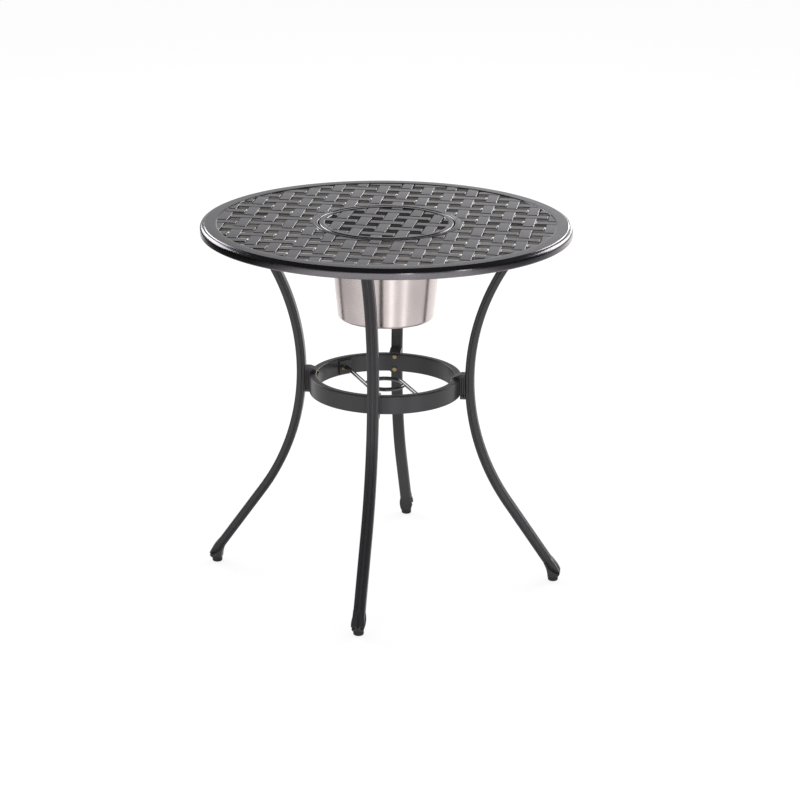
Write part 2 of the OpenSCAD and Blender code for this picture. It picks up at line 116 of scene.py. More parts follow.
def cut_off(spot, way):
    """In edit mode, cut the piece across at a spot, in metres, and drop what lies that way."""
    bpy.ops.mesh.select_all(action="SELECT")
    bpy.ops.mesh.bisect(plane_co=spot, plane_no=way, use_fill=True, clear_outer=True)


def close_up():
    """Merge doubled corners, turn the faces outwards and leave edit mode."""
    bpy.ops.mesh.select_all(action="SELECT")
    bpy.ops.mesh.remove_doubles(threshold=SAME_SPOT * MM)
    bpy.ops.mesh.normals_make_consistent(inside=False)
    done()


# %% Copy, join and cut pieces
def copy_of(piece, name, move=(0, 0, 0), turn=0.0):
    """A copy with its own mesh, turned about the table's axis and then moved."""
    alone(piece)
    bpy.ops.object.duplicate(linked=False)
    twin = bpy.context.object
    twin.name = name
    twin.rotation_euler = (0, 0, turn)
    twin.location = move
    bpy.ops.object.transform_apply(location=True, rotation=True, scale=True)
    return twin


def join(name, pieces):
    """Join pieces into one object."""
    alone(pieces[0])
    for piece in pieces[1:]:
        piece.select_set(True)
    bpy.ops.object.join()
    bpy.context.object.name = name
    return bpy.context.object


def cut(piece, tool, operation):
    """Cut a piece with a tool, or keep only what lies inside the tool."""
    alone(piece)
    bpy.ops.object.modifier_add(type="BOOLEAN")
    modifier = piece.modifiers[-1]
    modifier.operation = operation
    modifier.object = tool
    bpy.ops.object.modifier_apply(modifier=modifier.name)


# %% [markdown]
# A finished piece stands for one node of the bare table and rides on the same body. Smooth
# shading alone would bend the light on the flats beside a soft edge, so the normals are
# weighted by area.

# %% Fit a finished piece
SHARP = math.radians(50)
finish_of = {}


def fit(piece, node, body, slot):
    """Shade a finished piece, flats as flat and bends as bends, and let it stand for its node."""
    alone(piece)
    bpy.ops.object.shade_smooth_by_angle(angle=SHARP)
    bpy.ops.object.modifier_add(type="WEIGHTED_NORMAL")
    piece.modifiers[-1].keep_sharp = True
    bpy.ops.object.modifier_apply(modifier=piece.modifiers[-1].name)
    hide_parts(node)
    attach(piece, body)
    finish_of[piece.name] = slot
    print(piece.name, "has", len(piece.data.polygons), "faces")


# %% [markdown]
# ## Tools for turned pieces
# The rim, the collar, the lid's border and the bucket are the same all the way round. Such a
# piece is drawn as a section on one side of the axis, its corners are rounded, and it is spun.
# Drawing the section corner by corner keeps every height and radius readable, in millimetres.

# %% Draw a section and spin it
def section(name, corners):
    """A closed outline beside the axis, drawn from corner to corner as (radius, height)."""
    piece = start(name, bpy.ops.mesh.primitive_plane_add, size=MM)
    edit(piece)
    bpy.ops.mesh.merge(type="CENTER")
    bpy.ops.transform.translate(value=(corners[0][0] * MM, 0, corners[0][1] * MM))
    for here, there in zip(corners, corners[1:]):
        step = ((there[0] - here[0]) * MM, 0, (there[1] - here[1]) * MM)
        bpy.ops.mesh.extrude_vertices_move(TRANSFORM_OT_translate={"value": step})
    pick("VERT", lambda spot: any(at(spot, corner) for corner in (corners[0], corners[-1])))
    bpy.ops.mesh.edge_face_add()
    bpy.ops.mesh.select_all(action="SELECT")
    bpy.ops.mesh.edge_face_add()
    return piece


def at(spot, corner):
    """Whether a vertex of a section lies at a corner given in millimetres."""
    return math.hypot(spot.x / MM - corner[0], spot.z / MM - corner[1]) < SAME_SPOT


def round_off(corners, radius, steps):
    """Round these corners of the section."""
    pick("VERT", lambda spot: any(at(spot, corner) for corner in corners))
    bpy.ops.mesh.bevel(offset=radius * MM, segments=steps, affect="VERTICES")


def spin(steps):
    """Spin the section right round, open at the axis, with its faces outwards."""
    bpy.ops.mesh.select_all(action="SELECT")
    bpy.ops.mesh.delete(type="ONLY_FACE")
    if pick("EDGE", lambda spot: abs(spot.x) < SAME_SPOT * MM):
        bpy.ops.mesh.delete(type="EDGE")
    bpy.ops.mesh.select_all(action="SELECT")
    bpy.ops.mesh.spin(steps=steps, angle=math.tau, center=(0, 0, 0), axis=(0, 0, 1))
    close_up()


# %% [markdown]
# ## The weave
# The grille looks woven, but it is one casting: each strap rises over one neighbour and dips
# under the next, over a flat underside. Every strap is alike, so one long strap is modelled and
# copied. Its long upper edges are rounded first, while it is still a plain bar. Then it is cut
# across where it bends, and the upper part between the cuts is lowered in small steps, which
# gives a soft slope.

# %% One strap
STRAP_WIDE = 21.5
STRAP_DEEP = 6.5
PITCH = 44.9
PAD_LONG = 62.0
SLOPE_LONG = 2.5
DIP = 4.0
PAD_TOP = 710.0
TOP_ROUND = 1.3
UNDER_ROUND = 1.2
PADS_EACH_WAY = 9
STRAP_REACH = 395.0
SLOPE_STEPS = 5


def lowered(along):
    """How far a strap's upper face lies below its pads, at a distance along it."""
    past = abs((along + PITCH) % (2 * PITCH) - PITCH) - PAD_LONG / 2
    share = min(max(past / SLOPE_LONG, 0), 1)
    return DIP * share * share * (3 - 2 * share)


def strap():
    """One long strap across the middle, with its pads, slopes and dips."""
    middle = (PAD_TOP - STRAP_DEEP / 2) * MM
    bar = start("strap", bpy.ops.mesh.primitive_cube_add, size=1, location=(0, 0, middle),
                scale=(2 * STRAP_REACH * MM, STRAP_WIDE * MM, STRAP_DEEP * MM))
    edit(bar)
    for side in (-1, 1):
        for above, radius, steps in ((True, TOP_ROUND, 4), (False, UNDER_ROUND, 1)):
            pick("EDGE", lambda spot: spot.y * side > 0 and (spot.z > middle) == above)
            bpy.ops.mesh.bevel(offset=radius * MM, segments=steps, affect="EDGES")
    cuts = []
    for pad in range(-PADS_EACH_WAY, PADS_EACH_WAY + 1):
        for side in (-1, 1):
            for step in range(SLOPE_STEPS + 1):
                edge = PAD_LONG / 2 + SLOPE_LONG * step / SLOPE_STEPS
                cuts.append(2 * pad * PITCH + side * edge)
    for along in [u for u in cuts if abs(u) < STRAP_REACH - 1]:
        bpy.ops.mesh.select_all(action="SELECT")
        bpy.ops.mesh.bisect(plane_co=(along * MM, 0, 0), plane_no=(1, 0, 0))
    for step in range(1, SLOPE_STEPS + 1):
        depth = lowered(PAD_LONG / 2 + SLOPE_LONG * step / SLOPE_STEPS)
        pick("VERT", lambda spot: spot.z > middle
             and abs(lowered(spot.x / MM) - depth) < SAME_SPOT / 2)
        bpy.ops.transform.translate(value=(0, 0, -depth * MM))
    done()
    return bar


long_strap = strap()
print("strap:", len(long_strap.data.polygons), "faces, pads every", 2 * PITCH, "mm")

# %% [markdown]
# A row is a copy of the strap, cut square where it ends inside the border. Rows that run across
# pass over where rows that run back and forth pass under, so every second row is moved on by
# one pitch, and the rows of the other direction by one pitch more.

# %% Lay the straps as a grille
SET_UP = 0.3
PAST_EDGE = 2.0


def grille(name, out_r, rows):
    """Straps both ways inside a radius, as separate pieces, in order from row to row."""
    straps = []
    for row in range(-rows, rows + 1):
        edge = max(abs(row) * PITCH - STRAP_WIDE / 2, 0)
        reach = (math.sqrt(out_r * out_r - edge * edge) + PAST_EDGE) * MM
        for across in (True, False):
            shift = PITCH * ((row + (not across)) % 2)
            piece = copy_of(long_strap, name, move=(shift * MM, 0, 0))
            edit(piece)
            for end in (1, -1):
                cut_off((end * reach, 0, 0), (end, 0, 0))
            done()
            if across:
                place, turn = (0, row * PITCH * MM, 0), 0
            else:
                place, turn = (-row * PITCH * MM, 0, SET_UP * MM), QUARTER_TURN
            straps.append((row, copy_of(piece, name, move=place, turn=turn)))
            bpy.data.objects.remove(piece)
    return straps


# %% [markdown]
# ## The top
# The border, its rounded edge and the skirt are one section. The border is flat and stays grey
# like the pads, while the rounded edge mirrors the dark ceiling, so it draws a black band round
# the front. The border stands a little proud of it, and that small step catches a thin line of
# light.

# %% The border and the skirt
RIM_STEPS = 288

border = section("border", [
    (323.5, 699), (323.5, 710.9), (331, 711), (346.6, 710.9), (348.0, 709.4), (355.5, 709.4),
    (355.5, 691.5), (347, 691.5), (347, 699)])
round_off([(355.5, 709.4)], 7.2, 10)
round_off([(355.5, 691.5)], 2, 4)
round_off([(347, 691.5)], 2.5, 4)
round_off([(323.5, 710.9)], 1.6, 3)
round_off([(331, 711)], 4, 3)
round_off([(346.6, 710.9)], 0.5, 3)
round_off([(347, 699)], 4, 3)
spin(RIM_STEPS)
print("border:", len(border.data.polygons), "faces")

# %% The collar and the ledge
COLLAR_STEPS = 192

collar = section("collar", [
    (112.5, 693.1), (143.3, 693.1), (143.3, 710.2), (138.2, 710.6), (137.6, 709.9),
    (136.9, 710.6), (130.8, 711), (130.8, 697.1), (112.5, 697.1)])
round_off([(143.3, 710.2), (130.8, 711)], 2.6, 5)
round_off([(138.2, 710.6), (136.9, 710.6)], 0.5, 2)
round_off([(112.5, 693.1), (112.5, 697.1)], 1.2, 3)
round_off([(130.8, 697.1)], 1.5, 3)
round_off([(143.3, 693.1)], 2, 3)
spin(COLLAR_STEPS)
print("collar:", len(collar.data.polygons), "faces")

# %% [markdown]
# The straps stop at the collar, so the ones that would cross the recess are cut back to the
# middle of the collar's wall. A cylinder does that as a tool, and is then thrown away.

# %% The grille of the top
GRILLE_R = 323.5
GRILLE_ROWS = 7
ROWS_AT_RECESS = 3
COLLAR_MIDDLE = 137.05


def round_tool(name, radius):
    """A cylinder as high as the weave and more, to cut straps with."""
    return start(name, bpy.ops.mesh.primitive_cylinder_add, vertices=96, radius=radius * MM,
                 depth=60 * MM, location=(0, 0, 700 * MM))


recess_tool = round_tool("recess_tool", COLLAR_MIDDLE)
top_straps = grille("top_strap", GRILLE_R, GRILLE_ROWS)
for row, piece in top_straps:
    if abs(row) <= ROWS_AT_RECESS:
        cut(piece, recess_tool, "DIFFERENCE")
bpy.data.objects.remove(recess_tool)
print("straps in the top:", len(top_straps))

# %% [markdown]
# Under the top, a rib runs out to the skirt above each leg, with a boss that the leg's plate is
# bolted to. They are cast, so their edges are round and their ends vanish in the walls.

# %% Ribs and bosses under the top
RIB_ROUND = 1.5


def block(name, low, high, radius):
    """A cast block between two corners, with its edges rounded."""
    middle = [(a + b) / 2 * MM for a, b in zip(low, high)]
    size = [(b - a) * MM for a, b in zip(low, high)]
    piece = start(name, bpy.ops.mesh.primitive_cube_add, size=1, location=middle, scale=size)
    edit(piece)
    bpy.ops.mesh.bevel(offset=radius * MM, segments=3, affect="EDGES")
    done()
    return piece


rib = block("rib", (136, -6, 693.5), (352, 6, 703.8), RIB_ROUND)
boss = block("boss", (235.2, -12, 691.5), (299.2, 12, 703.8), RIB_ROUND)
supports = []
for quarter in range(4):
    for piece in (rib, boss):
        supports.append(copy_of(piece, piece.name, turn=quarter * QUARTER_TURN))
bpy.data.objects.remove(rib)
bpy.data.objects.remove(boss)

woven_top = join("woven_top", [border, collar, *supports, *(piece for row, piece in top_straps)])
fit(woven_top, "table_top", "table", "cast_top")

# %% [markdown]
# ## The lid
# The lid is the same weave, trimmed by its own border, and it lies in the recess turned a
# little from the rows of the top, as the last hand left it.

# %% The lid
LID_TURN = math.radians(-2.5)
LID_GRILLE_R = 123.0
LID_ROWS = 2
LID_BORDER_MIDDLE = 122.0

lid_border = section("lid_border", [(117.5, 699), (117.5, 711), (128.5, 711), (128.5, 699)])
round_off([(117.5, 711), (128.5, 711)], 2.8, 5)
round_off([(117.5, 699), (128.5, 699)], 2, 3)
spin(COLLAR_STEPS)
lid_tool = round_tool("lid_tool", LID_BORDER_MIDDLE)
lid_straps = grille("lid_strap", LID_GRILLE_R, LID_ROWS)
for row, piece in lid_straps:
    cut(piece, lid_tool, "INTERSECT")
bpy.data.objects.remove(lid_tool)
bpy.data.objects.remove(long_strap)
flat_lid = join("flat_lid", [lid_border, *(piece for row, piece in lid_straps)])
woven_lid = copy_of(flat_lid, "woven_lid", turn=LID_TURN)
bpy.data.objects.remove(flat_lid)
fit(woven_lid, "lid", "lid", "cast_top")

# %% [markdown]
# ## The ice bucket
# The bucket is drawn from one sheet: a base with a shallow dish pressed into it, a round
# corner, a wall that widens to the mouth, and a flange rolled over at its edge. Its section is
# a thin strip that starts and ends on the axis, so spinning it gives the wall its thickness at
# once.

# %% The bucket
bucket = section("bucket", [
    (0, 525.1), (70, 525.1), (72, 523.3), (92, 523.3), (109.4, 692), (110, 697.3), (127, 697.3),
    (127, 698.8), (108.8, 698.8), (108.2, 692), (90.9, 524.5), (72.6, 524.5), (70.6, 526.3),
    (0, 526.3)])
round_off([(92, 523.3)], 6, 6)
round_off([(90.9, 524.5)], 4.9, 6)
round_off([(72, 523.3), (72.6, 524.5), (70, 525.1), (70.6, 526.3)], 0.9, 2)
round_off([(127, 697.3), (127, 698.8)], 0.7, 3)
round_off([(108.8, 698.8)], 2.2, 4)
spin(COLLAR_STEPS)
fit(bucket, "ice_bucket", "ice_bucket", "bucket_steel")

# %% [markdown]
# ## Legs
# A leg is a bar bent to a bow, with two grooves down its front and one down each side. At its
# waist it stands upright, so its section is drawn there and laid flat. From the waist it is
# spun up to the top and down to the splay, round the bow's centre, and then drawn on straight
# to the foot.

# %% The section of a leg
WAIST = (164.8, 407)
BOW_R = 432.5
SPLAY = math.radians(35)
BOW_UP = math.radians(43)
STRAIGHT = 142.74
LEG_TOP = 686.5
FACE = 8.5
SIDE = 11.0
GROOVE = 1.7


def groove(middle, along, inwards):
    """The four corners of a groove in one face, before they are rounded."""
    (x, z), (ax, az), (ix, iz) = middle, along, inwards
    return [(x - ax, z - az), (x - ax + ix, z - az + iz), (x + ax + ix, z + az + iz),
            (x + ax, z + az)]


front_one, front_two = [groove((FACE, z), (0, GROOVE), (-GROOVE, 0)) for z in (-4, 4)]
side_one = groove((-2.6, SIDE), (-GROOVE, 0), (0, -GROOVE))
side_two = groove((-2.6, -SIDE), (GROOVE, 0), (0, GROOVE))
grooves = (front_one, front_two, side_one, side_two)

leg = section("leg", [(FACE, -SIDE), *front_one, *front_two, (FACE, SIDE), *side_one,
                      (-FACE, SIDE), (-FACE, -SIDE), *side_two])
round_off([(FACE, -SIDE), (FACE, SIDE), (-FACE, SIDE), (-FACE, -SIDE)], 3.5, 5)
round_off([spot for part in grooves for spot in part[1:3]], 1.5, 3)
round_off([spot for part in grooves for spot in (part[0], part[3])], 0.5, 2)
print("grooves in a leg:", len(grooves))

# %% Bend the leg
UP_STEPS = 36
DOWN_STEPS = 30

bpy.ops.mesh.select_all(action="SELECT")
bpy.ops.transform.rotate(value=QUARTER_TURN, orient_axis="X", center_override=(0, 0, 0))
bpy.ops.transform.translate(value=(WAIST[0] * MM, 0, WAIST[1] * MM))
bow_centre = ((WAIST[0] + BOW_R) * MM, 0, WAIST[1] * MM)


def at_waist(spot):
    """Whether a corner lies in the section that the leg was drawn from."""
    return abs(spot.z - WAIST[1] * MM) < SAME_SPOT * MM


bpy.ops.mesh.select_all(action="SELECT")
bpy.ops.mesh.spin(steps=UP_STEPS, angle=-BOW_UP, center=bow_centre, axis=(0, 1, 0))
pick("FACE", at_waist)
bpy.ops.mesh.spin(steps=DOWN_STEPS, angle=SPLAY, center=bow_centre, axis=(0, 1, 0))
down = (STRAIGHT * MM * math.sin(SPLAY), 0, -STRAIGHT * MM * math.cos(SPLAY))
bpy.ops.mesh.extrude_region_move(TRANSFORM_OT_translate={"value": down})
pick("FACE", at_waist)
bpy.ops.mesh.delete(type="ONLY_FACE")
cut_off((0, 0, LEG_TOP * MM), (0, 0, 1))
close_up()
for quarter, side in enumerate(("right", "back", "left", "front")):
    piece = copy_of(leg, "bowed_leg_" + side, turn=quarter * QUARTER_TURN)
    fit(piece, "leg_" + side, "table", "cast_frame")
bpy.data.objects.remove(leg)

# %% [markdown]
# ## The ring and the pole guide
# The ring that ties the legs is a flat bar with soft edges, spun like the rim. The guide in its
# middle is two round rods: each runs in straight from the ring and bends round the pole's
# place.

# %% The ring
ring_corners = [(133.5, 372.25), (133.5, 407.75), (147.7, 407.75), (147.7, 372.25)]
ring = section("ring", ring_corners)
round_off(ring_corners, 2.4, 5)
spin(COLLAR_STEPS)
fit(ring, "stretcher_ring", "table", "cast_frame")

# %% The rods
LOOP_R = 36.0
ROD_R = 4.0
ROD_HIGH = 387.0
ROD_RUN = 140.0
ROD_SIDES = 24
LOOP_STEPS = 40
LOOP_TURN = math.radians(142.65)
GUIDE_TURN = math.radians(27)
TAB_TURN = math.radians(108.22)
TAB_FACE = 129.76

rod = start("rod", bpy.ops.mesh.primitive_circle_add, vertices=ROD_SIDES, radius=ROD_R * MM,
            fill_type="NGON", rotation=(QUARTER_TURN, 0, 0),
            location=(-LOOP_R * MM, 0, ROD_HIGH * MM))
edit(rod)
bpy.ops.mesh.spin(steps=LOOP_STEPS, angle=-LOOP_TURN, center=(0, 0, ROD_HIGH * MM),
                  axis=(0, 0, 1))
pick("FACE", lambda spot: abs(spot.y) < SAME_SPOT * MM and spot.x < 0)
bpy.ops.mesh.extrude_region_move(TRANSFORM_OT_translate={"value": (0, ROD_RUN * MM, 0)})
tab_way = (math.cos(TAB_TURN), math.sin(TAB_TURN), 0)
cut_off([TAB_FACE * MM * part for part in tab_way], tab_way)
close_up()
for half, letter in enumerate("ab"):
    piece = copy_of(rod, "bent_rod_" + letter, turn=GUIDE_TURN + half * HALF_TURN)
    fit(piece, "guide_rod_" + letter, "table", "rod_steel")
bpy.data.objects.remove(rod)

# %% [markdown]
# ## Bolts
# Hexagon bolts hold the ring, the tabs and the leg plates. A real head is turned before it is
# plated, so its outer corners are cut back to a cone. For each size, one bolt is modelled: a
# hexagon cut to shape with a cone, and a shank. It is then copied to every hole.

# %% A bolt
CONE_CUT = 1.3
TIP_CUT = 0.6


def bolt(across_flats, head_high, shank_wide, long):
    """A bolt that points up from the underside of its head, at the origin, in millimetres."""
    corner_r = across_flats / 2 / math.cos(math.pi / 6)
    head = start("head", bpy.ops.mesh.primitive_cylinder_add, vertices=6, radius=corner_r * MM,
                 depth=head_high * MM, location=(0, 0, -head_high / 2 * MM))
    cone = start("cone", bpy.ops.mesh.primitive_cylinder_add, vertices=36,
                 radius=(corner_r + 0.2) * MM, depth=head_high * MM,
                 location=(0, 0, -head_high / 2 * MM))
    edit(cone)
    pick("EDGE", lambda spot: spot.z < -(head_high - SAME_SPOT) * MM)
    bpy.ops.mesh.bevel(offset=CONE_CUT * MM, segments=3, affect="EDGES")
    done()
    cut(head, cone, "INTERSECT")
    bpy.data.objects.remove(cone)
    shank = start("shank", bpy.ops.mesh.primitive_cylinder_add, vertices=24,
                  radius=shank_wide / 2 * MM, depth=long * MM, location=(0, 0, long / 2 * MM))
    edit(shank)
    pick("EDGE", lambda spot: spot.z > (long - SAME_SPOT) * MM)
    bpy.ops.mesh.bevel(offset=TIP_CUT * MM, segments=2, affect="EDGES")
    done()
    return join("bolt", [head, shank])


def bolts(name, model, places):
    """Copies of a bolt, each with its turn about the table's axis, its place and its lean."""
    row = []
    for turn, (out, aside, height), lean in places:
        piece = copy_of(model, name)
        piece.matrix_world = (Matrix.Rotation(turn, 4, "Z")
                              @ Matrix.Translation((out * MM, aside * MM, height * MM))
                              @ Matrix.Rotation(lean, 4, "Y"))
        alone(piece)
        bpy.ops.object.transform_apply(location=True, rotation=True, scale=True)
        row.append(piece)
    bpy.data.objects.remove(model)
    return join(name, row)


# %% Put the bolts in their holes
UPRIGHT = 0
OUTWARDS = QUARTER_TURN
PLATE_MIDDLE = 267.25
RING_FACE = 133.42
RING_MIDDLE = 390.0
TAB_HOLE = (TAB_FACE, 7, RING_MIDDLE)
TAB_HOLE_TURN = math.radians(135.22)

quarters = [quarter * QUARTER_TURN for quarter in range(4)]
plate_holes = [(turn, (PLATE_MIDDLE + aside, 0, LEG_TOP), UPRIGHT)
               for turn in quarters for aside in (-22, 22)]
ring_holes = [(turn, (RING_FACE, 0, RING_MIDDLE + above), OUTWARDS)
              for turn in quarters for above in (-13, 13)]
tab_holes = [(TAB_HOLE_TURN + half * HALF_TURN, TAB_HOLE, OUTWARDS) for half in (0, 1)]

plate_bolt = bolt(across_flats=10, head_high=4, shank_wide=6, long=13.5)
fit(bolts("plate_bolts", plate_bolt, plate_holes), "leg_plate_bolts", "table", "zinc_bolt")
ring_bolt = bolt(across_flats=8, head_high=3.5, shank_wide=5, long=20.3)
fit(bolts("ring_screws", ring_bolt, ring_holes), "ring_bolts", "table", "zinc_bolt")
tab_bolt = bolt(across_flats=8, head_high=3.5, shank_wide=5, long=11.7)
fit(bolts("tab_screws", tab_bolt, tab_holes), "tab_bolts", "table", "zinc_bolt")

# %% [markdown]
# ## Tools for the finishes
# A finish is a material whose colour, roughness and relief change over the surface. That takes
# a lot of small sums on nodes. Wiring each sum by hand is slow to read, so a field stands for a
# number that varies over the surface, and adding or multiplying two fields adds the Math node
# for it.

# %% A number that varies over a surface
class Field:
    """A socket that varies over a surface. Sums on it add Math nodes."""

    def __init__(self, wiring, socket):
        self.wiring = wiring
        self.socket = socket

    def sum(self, operation, first, second):
        """A new field, from a Math node on two fields or numbers."""
        return self.wiring.node("ShaderNodeMath", {"operation": operation}, {0: first, 1: second})

    def __add__(self, other):
        return self.sum("ADD", self, other)

    def __sub__(self, other):
        return self.sum("SUBTRACT", self, other)

    def __rsub__(self, other):
        return self.sum("SUBTRACT", other, self)

    def __mul__(self, other):
        return self.sum("MULTIPLY", self, other)

    def __abs__(self):
        return self.sum("ABSOLUTE", self, 0)

    __radd__ = __add__
    __rmul__ = __mul__


# %% Wiring of nodes
class Wiring:
    """A node tree, to which nodes are added with their settings and the fields they take."""

    def __init__(self, tree):
        self.tree = tree

    def node(self, kind, settings, inputs, output=0):
        """Add a node: its settings first, then the values or fields of its sockets."""
        node = self.tree.nodes.new(kind)
        for setting, value in settings.items():
            setattr(node, setting, value)
        for socket, value in inputs.items():
            self.feed(node.inputs[socket], value)
        return Field(self, node.outputs[output])

    def feed(self, socket, value):
        """Link a field to a socket, or set a number there."""
        if isinstance(value, Field):
            self.tree.links.new(value.socket, socket)
        else:
            socket.default_value = value

    def parts(self, vector):
        """The three numbers of a vector."""
        split = self.node("ShaderNodeSeparateXYZ", {}, {0: vector})
        return [Field(self, socket) for socket in split.socket.node.outputs]

    def way_round(self, x, y):
        """The angle of a point about the table's axis."""
        return self.node("ShaderNodeMath", {"operation": "ARCTAN2"}, {0: y, 1: x})

    def between(self, field, low, high):
        """A field stretched so that low becomes 0 and high becomes 1, and cut off there."""
        inputs = {"Value": field, "From Min": low, "From Max": high}
        return self.node("ShaderNodeMapRange", {}, inputs)

    def ray_is(self, *kinds):
        """1 for these kinds of ray and 0 for the others."""
        rays = self.node("ShaderNodeLightPath", {}, {}).socket.node.outputs
        either = Field(self, rays[kinds[0]])
        for kind in kinds[1:]:
            either = either.sum("MAXIMUM", either, Field(self, rays[kind]))
        return either


# %% A finish
class Finish(Wiring):
    """A material with one shader, whose sockets are set once or fed by fields."""

    def __init__(self, name, constants):
        self.material = bpy.data.materials.new(name)
        self.material.use_nodes = True
        super().__init__(self.material.node_tree)
        self.shader = self.tree.nodes["Principled BSDF"]
        for socket, value in constants.items():
            self.shader.inputs[socket].default_value = value

    def set(self, socket, field):
        """Feed a socket of the shader."""
        self.feed(self.shader.inputs[socket], field)

    def place(self):
        """The point on the piece, in metres."""
        return self.node("ShaderNodeTexCoord", {}, {}, "Object")

    def noise(self, place, size, detail=2.0, roughness=0.5):
        """Soft noise from 0 to 1, whose lumps are about a size across, in metres."""
        inputs = {"Vector": place, "Scale": 1 / size, "Detail": detail, "Roughness": roughness}
        return self.node("ShaderNodeTexNoise", {}, inputs, "Fac")

    def mix(self, share, first, second):
        """Two colours, mixed by a field from 0 to 1."""
        inputs = {0: share, 6: first, 7: second}
        return self.node("ShaderNodeMix", {"data_type": "RGBA"}, inputs, 2)

    def edges(self, radius):
        """Softened normals, and a field that is 1 on sharp edges and 0 on flats."""
        soft = self.node("ShaderNodeBevel", {"samples": 6}, {"Radius": radius})
        true = self.node("ShaderNodeNewGeometry", {}, {}, "Normal")
        along = self.node("ShaderNodeVectorMath", {"operation": "DOT_PRODUCT"},
                          {0: soft, 1: true}, "Value")
        return soft, self.between(along, 0.995, 0.86)

    def relief(self, height, depth, normal):
        """Bumps of a height field, as deep as depth, in metres, on top of a normal."""
        return self.node("ShaderNodeBump", {},
                         {"Height": height, "Distance": depth, "Strength": 1.0, "Normal": normal})


# %% [markdown]
# ## Powder coat on the castings
# The top, the legs and the brackets are cast aluminium with a pewter-grey powder coat. It holds
# fine metal flake, so it mirrors light softly and goes nearly black where the room is dark.
# Three things make it real up close: flake that sparkles from grain to grain, the faint orange
# peel that a baked coat dries with, and edges where the coat is thin and a little brighter. In
# the weave's slots the coat turns a duller brownish grey with little metal; a range of heights
# inside the border picks that place out. One function makes both greys; the frame's is darker,
# with less metal and more roughness.

# %% Powder coat
FLAKE_SIZE = 0.0007
PEEL_SIZE = 0.0028
PEEL_DEPTH = 0.00003
CLOUD_SIZE = 0.09
COAT_EDGE = 0.0006
SLOT_UPPER = (0.7088, 0.7068)
SLOT_LOWER = (0.6925, 0.6935)
SLOT_OUTER = (0.3245, 0.3235)
SLOT_COLOUR = [0.142, 0.133, 0.118, 1]
SLOT_DULLS = 0.85


def powder_coat(name, grey, thin_grey, metal, roughness):
    """Satin powder coat in one grey, with a lighter grey where it is thin on edges."""
    coat = Finish(name, {"IOR": 1.5})
    place = coat.place()
    x, y, height = coat.parts(place)
    # This mask picks out the weave's slots by height and radius. There the coat turns a duller
    # brownish grey with little metal.
    dust = (coat.between(height, *SLOT_UPPER) * coat.between(height, *SLOT_LOWER)
            * coat.between(x * x + y * y, *(out ** 2 for out in SLOT_OUTER)))
    soft, edge = coat.edges(COAT_EDGE)
    flake = coat.noise(place, FLAKE_SIZE, detail=1.0)
    peel = coat.noise(place, PEEL_SIZE, detail=3.0)
    cloud = coat.noise(place, CLOUD_SIZE, detail=2.0)
    wear = edge * coat.between(cloud, 0.35, 0.65)
    deep = [channel * 0.75 for channel in grey] + [1]
    bright = [channel * 1.25 for channel in grey] + [1]
    speckled = coat.mix(coat.between(flake, 0.3, 0.7), deep, bright)
    clouded = coat.mix(coat.between(cloud, 0.3, 0.8) * 0.25, speckled, deep)
    worn = coat.mix(wear * 0.6, clouded, [*thin_grey, 1])
    coat.set("Base Color", coat.mix(dust, worn, SLOT_COLOUR))
    coat.set("Metallic", metal - dust * (metal * SLOT_DULLS))
    coat.set("Roughness", roughness + (flake - 0.5) * 0.08 + (cloud - 0.5) * 0.06 - wear * 0.03
             + dust * 0.3)
    coat.set("Normal", coat.relief(peel + flake * 0.3, PEEL_DEPTH, soft))
    return coat.material


top_coat = powder_coat("cast_top", (0.190, 0.181, 0.200), (0.30, 0.29, 0.31), 1.0, 0.20)
frame_coat = powder_coat("cast_frame", (0.046, 0.044, 0.048), (0.13, 0.125, 0.135), 0.4, 0.30)
print("powder coats:", top_coat.name, frame_coat.name)

# %% [markdown]
# ## Brushed steel for the bucket
# The bucket is thin stainless sheet, polished on a lathe-like wheel, so its brush marks run
# level round it. Such marks smear every reflection upwards and downwards, which gives the
# upright bands of light and dark. The shader's anisotropy does the smearing, and a noise that
# is squeezed to hair lines in height and stretched along the way round gives the marks
# themselves.

# %% Brushed steel
ALONG_THE_BRUSH = 0.25
BRUSH_SIZE = 0.0035
BRUSH_STRETCH = 0.06
BRUSH_SQUEEZE = 9.0


def brushed_steel():
    """Stainless sheet with level brush marks."""
    steel = Finish("bucket_steel", {"Metallic": 1.0, "Anisotropic": 0.78,
                                    "Anisotropic Rotation": ALONG_THE_BRUSH})
    place = steel.place()
    x, y, z = steel.parts(place)
    way = steel.node("ShaderNodeCombineXYZ", {}, {
        0: steel.way_round(x, y) * BRUSH_STRETCH, 1: z * BRUSH_SQUEEZE, 2: 0.0})
    brush = steel.noise(way, BRUSH_SIZE, detail=4.0, roughness=0.7)
    haze = steel.noise(place, 0.05, detail=3.0)
    soft, edge = steel.edges(0.0008)
    # Their warm pink cast is a painted reflection of a warm wall, laid over the steel's grey.
    bright = steel.mix(brush, [0.61, 0.545, 0.545, 1], [0.80, 0.725, 0.73, 1])
    steel.set("Base Color", steel.mix(steel.between(haze, 0.45, 0.8) * 0.3, bright,
                                      [0.54, 0.49, 0.48, 1]))
    steel.set("Roughness", 0.20 + brush * 0.10 + haze * 0.06 + edge * 0.05)
    steel.set("Normal", steel.relief(brush, 0.00001, soft))
    return steel.material


bucket_steel = brushed_steel()
print("steel:", bucket_steel.name)

# %% [markdown]
# ## Gloss coat, zinc and nylon
# Three small finishes are left. The pole guide's rods are drawn steel under a dark gloss coat.
# The bolts are plated in yellow zinc, which goes from gold to a faint rose from place to place.
# The glides are moulded nylon, black and slightly grained, scuffed pale where they rub the
# ground.

